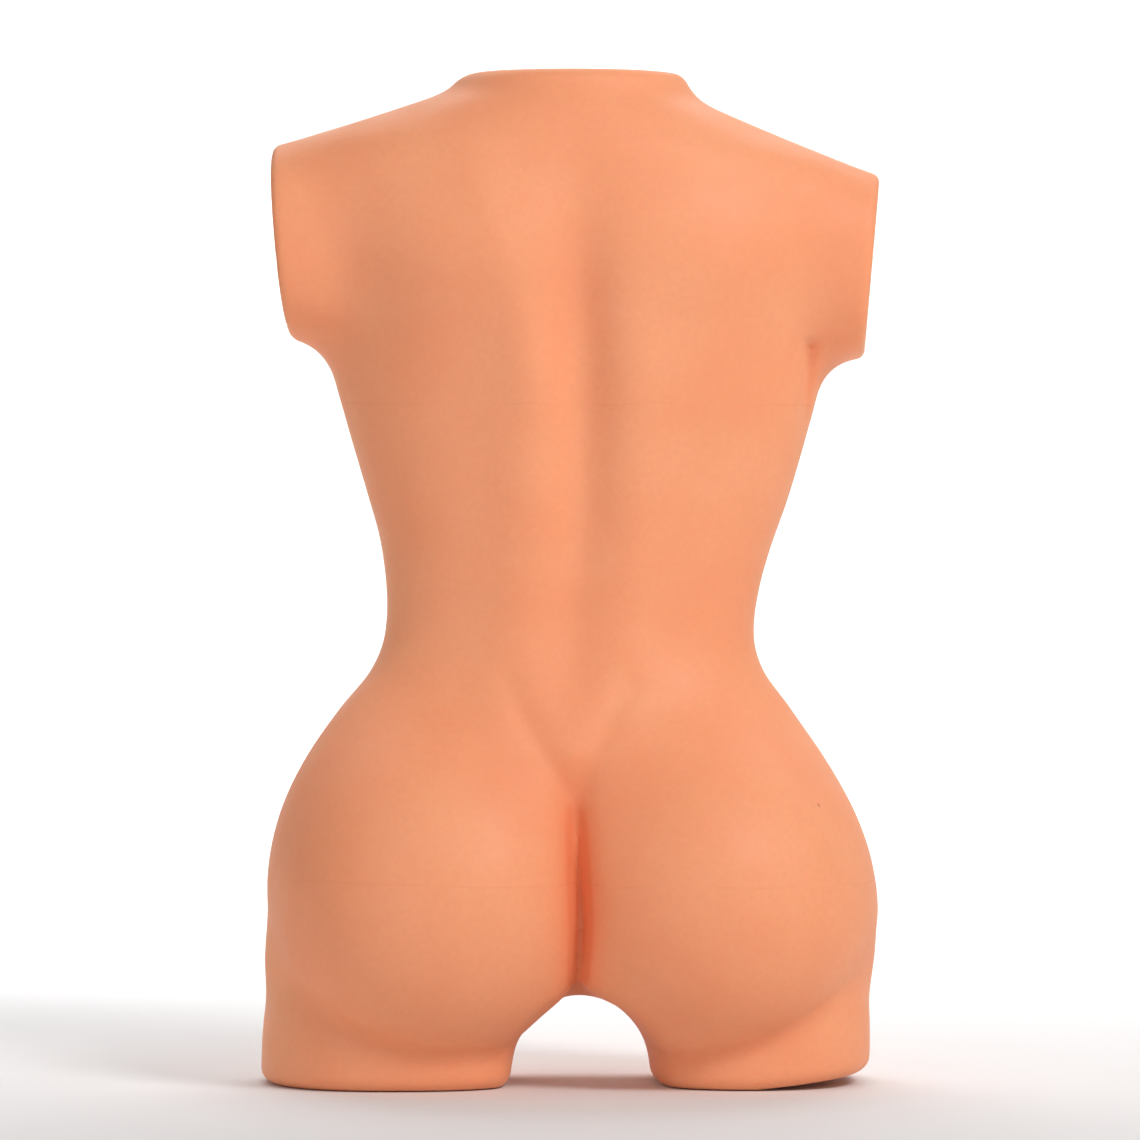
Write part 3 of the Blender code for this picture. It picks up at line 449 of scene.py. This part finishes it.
def field_mesh(name, field, low, high, step, rounds):
    points, quads = surface(field, low, high, step)
    points = settle(field, points, 2, step)
    points = even_out(field, points, quads, rounds)
    points = settle(field, points, 2, step / 2)
    mesh = bpy.data.meshes.new(name)
    mesh.from_pydata(points.tolist(), [], quads.tolist())
    mesh.validate()
    mesh.shade_smooth()
    made = bpy.data.objects.new(name, mesh)
    bpy.context.scene.collection.objects.link(made)
    return made


def turned(name, profile, sides, place):
    """Spins a profile of (radius, height) round +Z."""
    shape = bmesh.new()
    corners = [shape.verts.new((radius, 0.0, height)) for radius, height in profile]
    edges = [shape.edges.new(ends) for ends in zip(corners, corners[1:])]
    bmesh.ops.spin(
        shape, geom=corners + edges, cent=(0, 0, 0), axis=(0, 0, 1),
        angle=math.tau, steps=sides, use_merge=True,
    )
    bmesh.ops.remove_doubles(shape, verts=shape.verts, dist=1e-6)
    bmesh.ops.recalc_face_normals(shape, faces=shape.faces)
    mesh = bpy.data.meshes.new(name)
    shape.to_mesh(mesh)
    shape.free()
    mesh.shade_smooth()
    mesh.set_sharp_from_angle(angle=math.radians(40))
    made = bpy.data.objects.new(name, mesh)
    made.location = place
    bpy.context.scene.collection.objects.link(made)
    return made


def build_skin():
    """The skin: the outer surface, less the hollow and the hole in the neck's cut face."""
    skin = field_mesh("skin", torso, (-0.205, -0.135, -0.012), (0.205, 0.140, 0.626), GRID, 4)
    void = field_mesh("void", hollow, (-0.185, -0.125, -0.012), (0.185, 0.130, 0.620), VOID_GRID, 1)
    radius = PLUG_RADIUS + PLUG_GAP
    hole = turned(
        "hole",
        [(0, SOCKET_BOTTOM), (radius, SOCKET_BOTTOM), (radius, 0.64), (0, 0.64)],
        ROUND_SIDES, (0, SPINE_Y, 0),
    )
    for cutter in (void, hole):
        modifier = skin.modifiers.new(cutter.name, "BOOLEAN")
        modifier.operation = "DIFFERENCE"
        modifier.object = cutter
    graph = bpy.context.evaluated_depsgraph_get()
    mesh = bpy.data.meshes.new_from_object(skin.evaluated_get(graph))
    skin.modifiers.clear()
    skin.data = mesh
    for cutter in (void, hole):
        bpy.data.objects.remove(cutter)
    mesh.shade_smooth()
    mesh.set_sharp_from_angle(angle=math.radians(50))
    return skin


def paint_crease_shade(skin):
    """Stores how deep each point lies in a crease, for the painted shade that darkens and reddens
    the colour there.
    """
    co = np.empty(len(skin.data.vertices) * 3)
    skin.data.vertices.foreach_get("co", co)
    co = co.reshape(-1, 3)
    x, y, z = co.T
    depth, wide = cleft_at(z)
    cleft = np.minimum(depth / 0.02, 1) * np.exp(-((x / (wide * 1.5)) ** 2))
    cleft = cleft * smooth_step(0.02, 0.05, y)
    ahead = co + CREASE_REACH * gradient(torso, co)
    pinch = np.clip((CREASE_REACH - torso(ahead)) / CREASE_REACH, 0, 1)
    crease = np.clip(cleft + 1.2 * pinch, 0, 1)
    attribute = skin.data.attributes.new("crease", "FLOAT", "POINT")
    attribute.data.foreach_set("value", crease.astype(np.float32))


# ---------------------------------------------------------------- materials
class Nodes:
    """A short way to write a material's node tree."""

    def __init__(self, name):
        self.material = bpy.data.materials.new(name)
        self.material.use_nodes = True
        self.tree = self.material.node_tree
        self.shader = self.tree.nodes["Principled BSDF"]

    def add(self, kind, settings=None, **inputs):
        node = self.tree.nodes.new("ShaderNode" + kind)
        for key, value in (settings or {}).items():
            setattr(node, key, value)
        for key, value in inputs.items():
            self.plug(node, key.replace("_", " "), value)
        return node

    def plug(self, node, socket, value):
        numbered = socket[:1] == "n" and socket[1:].isdigit()
        socket = node.inputs[int(socket[1:]) if numbered else socket]
        if isinstance(value, bpy.types.NodeSocket):
            self.tree.links.new(value, socket)
        else:
            socket.default_value = value

    def maths(self, operation, a, b=0.0):
        node = self.add("Math", {"operation": operation})
        self.plug(node, "n0", a)
        self.plug(node, "n1", b)
        return node.outputs[0]

    def spread(self, value, low, high, to_low=0.0, to_high=1.0):
        node = self.add("MapRange", {"interpolation_type": "SMOOTHSTEP"}, Value=value)
        ends = {"From Min": low, "From Max": high, "To Min": to_low, "To Max": to_high}
        for key, number in ends.items():
            node.inputs[key].default_value = number
        return node.outputs[0]

    def mix(self, share, a, b):
        node = self.add("Mix", {"data_type": "RGBA"})
        self.plug(node, "n0", share)
        self.plug(node, "n6", a)
        self.plug(node, "n7", b)
        return node.outputs[2]

    def noise(self, where, scale, detail=2.0, rough=0.5):
        node = self.add("TexNoise", Vector=where, Scale=scale, Detail=detail, Roughness=rough)
        return node.outputs["Fac"]

    def bumps(self, *layers):
        """Chains (height, distance) layers into one normal."""
        normal = None
        for height, distance in layers:
            node = self.add("Bump", Height=height, Distance=distance)
            node.inputs["Strength"].default_value = 1.0
            if normal:
                self.plug(node, "Normal", normal)
            normal = node.outputs[0]
        return normal

    def finish(self, **sockets):
        for key, value in sockets.items():
            self.plug(self.shader, key.replace("_", " "), value)
        return self.material


def rgb(red, green, blue):
    """A linear colour from its sRGB bytes."""
    def linear(value):
        value /= 255
        return value / 12.92 if value <= 0.04045 else ((value + 0.055) / 1.055) ** 2.4
    return (linear(red), linear(green), linear(blue), 1.0)


def elastomer(name, shade_creases=True):
    """Cast elastomer: peach, translucent and matte, with fine pores and soft mottling."""
    n = Nodes(name)
    where = n.add("TexCoord").outputs["Object"]
    mottle = n.noise(where, 9.0, 3.0)
    base = n.mix(n.spread(mottle, 0.35, 0.65), rgb(248, 160, 116), rgb(251, 167, 123))
    grain = n.noise(where, 260.0, 3.0, 0.6)
    base = n.mix(n.spread(grain, 0.3, 0.7, 0.0, 0.10), base, rgb(226, 138, 100))
    z = n.add("SeparateXYZ", Vector=where).outputs[2]
    ripple = n.maths("MULTIPLY", n.noise(where, 14.0), 0.010)
    seam_height = None
    for level in MOULD_LINES:
        offset = n.maths("SUBTRACT", n.maths("ADD", z, ripple), level + 0.005)
        offset = n.maths("ABSOLUTE", offset)
        line = n.spread(offset, 0.0, 0.0009, 1.0, 0.0)
        broken = n.spread(n.noise(where, 22.0), 0.42, 0.56)
        line = n.maths("MULTIPLY", line, broken)
        seam_height = line if seam_height is None else n.maths("ADD", seam_height, line)
    speck = n.add("TexVoronoi", Vector=where, Scale=26.0)
    dot = n.spread(speck.outputs["Distance"], 0.020, 0.050, 1.0, 0.0)
    rare = n.spread(n.noise(where, 31.0, 0.0), 0.66, 0.70)
    dot = n.maths("MULTIPLY", dot, rare)
    base = n.mix(n.maths("MULTIPLY", dot, 0.55), base, rgb(190, 104, 76))
    base = n.mix(n.maths("MULTIPLY", seam_height, 0.08), base, rgb(214, 128, 94))
    # Painted shade: the crease attribute mixes creases and the cleft towards a darker, redder
    # peach.
    if shade_creases:
        crease = n.add("Attribute", {"attribute_name": "crease"}).outputs["Fac"]
        base = n.mix(n.maths("MULTIPLY", crease, 0.55), base, rgb(232, 124, 78))
    pores = n.noise(where, 900.0, 2.0, 0.6)
    skin = n.noise(where, 120.0, 3.0, 0.5)
    waves = n.noise(where, 16.0, 2.0)
    normal = n.bumps(
        (waves, 0.0012), (skin, 0.00016), (pores, 0.00006),
        (seam_height, 0.00012), (dot, -0.0003),
    )
    rough = n.spread(n.noise(where, 34.0, 3.0), 0.3, 0.7, 0.50, 0.60)
    n.shader.subsurface_method = "RANDOM_WALK"
    n.shader.inputs["Subsurface Weight"].default_value = 0.35
    n.shader.inputs["Subsurface Radius"].default_value = (1.0, 0.42, 0.25)
    n.shader.inputs["Subsurface Scale"].default_value = 0.008
    n.shader.inputs["Specular IOR Level"].default_value = 0.28
    return n.finish(Base_Color=base, Roughness=rough, Normal=normal)


def powder_coat(name):
    """Black powder coat with a fine orange peel and a little dust."""
    n = Nodes(name)
    where = n.add("TexCoord").outputs["Object"]
    peel = n.noise(where, 420.0, 2.0)
    dust = n.noise(where, 30.0, 4.0, 0.6)
    base = n.mix(n.spread(dust, 0.35, 0.75), rgb(34, 35, 37), rgb(58, 59, 61))
    rough = n.spread(dust, 0.3, 0.7, 0.38, 0.55)
    n.shader.inputs["Specular IOR Level"].default_value = 0.5
    return n.finish(Base_Color=base, Roughness=rough, Normal=n.bumps((peel, 0.00012)))


def zinc_plate(name):
    """Bright zinc plate, clouded by handling."""
    n = Nodes(name)
    where = n.add("TexCoord").outputs["Object"]
    cloud = n.noise(where, 70.0, 4.0, 0.6)
    fine = n.noise(where, 700.0, 2.0)
    base = n.mix(n.spread(cloud, 0.3, 0.7), rgb(186, 189, 194), rgb(208, 208, 203))
    n.shader.inputs["Metallic"].default_value = 1.0
    rough = n.spread(cloud, 0.3, 0.7, 0.24, 0.40)
    return n.finish(Base_Color=base, Roughness=rough, Normal=n.bumps((fine, 0.00003)))


def brass_lining(name):
    """Dull worn brass."""
    n = Nodes(name)
    where = n.add("TexCoord").outputs["Object"]
    wear = n.noise(where, 160.0, 4.0, 0.65)
    base = n.mix(n.spread(wear, 0.3, 0.7), rgb(150, 116, 62), rgb(190, 156, 92))
    n.shader.inputs["Metallic"].default_value = 1.0
    rough = n.spread(wear, 0.3, 0.7, 0.30, 0.48)
    return n.finish(Base_Color=base, Roughness=rough, Normal=n.bumps((wear, 0.00004)))


def open_foam(name):
    """Open-cell foam, yellowed in patches."""
    n = Nodes(name)
    where = n.add("TexCoord").outputs["Object"]
    cells = n.add("TexVoronoi", Vector=where, Scale=520.0).outputs["Distance"]
    cloud = n.noise(where, 18.0, 3.0)
    base = n.mix(n.spread(cloud, 0.3, 0.7), rgb(231, 219, 178), rgb(222, 203, 152))
    base = n.mix(n.spread(cells, 0.0, 0.35, 0.5, 0.0), base, rgb(168, 146, 100))
    n.shader.inputs["Specular IOR Level"].default_value = 0.1
    n.shader.inputs["Roughness"].default_value = 0.95
    return n.finish(Base_Color=base, Normal=n.bumps((cells, 0.0008)))


def plain_stage(name):
    """Matt white paper."""
    n = Nodes(name)
    n.shader.inputs["Base Color"].default_value = (0.82, 0.82, 0.82, 1)
    n.shader.inputs["Roughness"].default_value = 0.9
    n.shader.inputs["Specular IOR Level"].default_value = 0.1
    return n.material


# ---------------------------------------------------------------- pieces
skin = build_skin()
paint_crease_shade(skin)
skin.data.materials.append(elastomer("skin_elastomer"))
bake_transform(skin)
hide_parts("skin_lower", "skin_waist", "skin_upper")

STEM_BOTTOM = 0.560
plug = turned(
    "plug",
    [
        (0, STEM_BOTTOM), (0.0060, STEM_BOTTOM), (0.0075, STEM_BOTTOM + 0.0015),
        (0.0075, 0.5995), (0.0072, PLUG_SEAT), (0.0208, PLUG_SEAT), (0.0216, PLUG_SEAT + 0.0008),
        (PLUG_RADIUS - 0.0002, PLUG_SEAT + 0.002), (PLUG_RADIUS - 0.0002, NECK_TOP - 0.0014),
        (PLUG_RADIUS - 0.0006, NECK_TOP - 0.0005), (PLUG_RADIUS - 0.0015, NECK_TOP),
        (0.0105, NECK_TOP), (0.0098, NECK_TOP - 0.0004), (0.0090, NECK_TOP - 0.0012),
        (0, NECK_TOP - 0.0018),
    ],
    ROUND_SIDES, (0, SPINE_Y, 0),
)
plug.data.materials.append(elastomer("plug_elastomer", shade_creases=False))
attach(plug, "plug")
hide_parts("neck_plug")

finishes = {
    "steel": powder_coat("frame_powder_coat"),
    "zinc": zinc_plate("fastener_zinc"),
    "brass": brass_lining("lining_brass"),
    "foam": open_foam("core_foam"),
}
slots = {row["node"]: row["material_slot"] for row in frame["record"]["subparts"]}
for node, obj in frame["nodes"].items():
    finish = finishes.get(slots[node])
    if finish:
        obj.data.materials.clear()
        obj.data.materials.append(finish)


# ---------------------------------------------------------------- stage, light and camera
def sweep(name, width, near, far, height, bend):
    """A floor that curves up into a backdrop."""
    profile = [(near, 0.0), (far + bend, 0.0)]
    for i in range(1, 25):
        angle = math.pi / 2 * i / 24
        profile.append((far + bend - bend * math.sin(angle), bend - bend * math.cos(angle)))
    profile.append((far, height))
    shape = bmesh.new()
    rows = [[shape.verts.new((x, y, z)) for y, z in profile] for x in (-width / 2, width / 2)]
    for i in range(len(profile) - 1):
        shape.faces.new((rows[0][i], rows[0][i + 1], rows[1][i + 1], rows[1][i]))
    mesh = bpy.data.meshes.new(name)
    bmesh.ops.recalc_face_normals(shape, faces=shape.faces)
    shape.to_mesh(mesh)
    shape.free()
    mesh.shade_smooth()
    made = bpy.data.objects.new(name, mesh)
    bpy.context.scene.collection.objects.link(made)
    made.data.materials.append(plain_stage(name + "_white"))
    return made


def soft_light(name, place, aim, size, watts):
    light = bpy.data.lights.new(name, "AREA")
    light.shape = "RECTANGLE"
    light.size, light.size_y = size
    light.energy = watts
    made = bpy.data.objects.new(name, light)
    made.location = place
    direction = Vector(aim) - Vector(place)
    made.rotation_euler = direction.to_track_quat("-Z", "Y").to_euler()
    bpy.context.scene.collection.objects.link(made)
    return made


floor = sweep("studio_sweep", 9.0, 4.0, -4.7, 4.0, 1.2)
floor.location.z = -0.0004

world = bpy.data.worlds.new("studio")
world.use_nodes = True
world.node_tree.nodes["Background"].inputs["Color"].default_value = (1, 1, 1, 1)
world.node_tree.nodes["Background"].inputs["Strength"].default_value = 0.33
bpy.context.scene.world = world
bpy.context.scene.view_settings.view_transform = "Standard"

soft_light("key", (-1.42, 1.88, 2.0), (0, 0, 0.33), (0.9, 0.9), 44.5)
soft_light("fill", (1.3, 2.2, 0.22), (0, 0, 0.10), (1.4, 1.4), 12.0)
soft_light("backdrop_wash", (0.0, -2.5, 2.8), (0, -4.4, 0.5), (3.6, 1.2), 120.0)
soft_light("floor_wash", (0.0, -1.6, 2.4), (0, -2.4, 0.0), (3.0, 1.6), 45.0)

CAMERA_YAW = math.radians(2.0)
CAMERA_DISTANCE = 3.5
CAMERA_HEIGHT = 0.311
FIELD_WIDTH = 0.694  # of the picture, at the torso
camera = bpy.data.objects.new("camera", bpy.data.cameras.new("camera"))
bpy.context.scene.collection.objects.link(camera)
camera.location = (
    CAMERA_DISTANCE * math.sin(CAMERA_YAW),
    CAMERA_DISTANCE * math.cos(CAMERA_YAW),
    CAMERA_HEIGHT,
)
camera.rotation_euler = (math.pi / 2, 0, math.pi - CAMERA_YAW)
camera.data.sensor_width = 36.0
camera.data.lens = 36.0 * CAMERA_DISTANCE / FIELD_WIDTH
bpy.context.scene.camera = camera
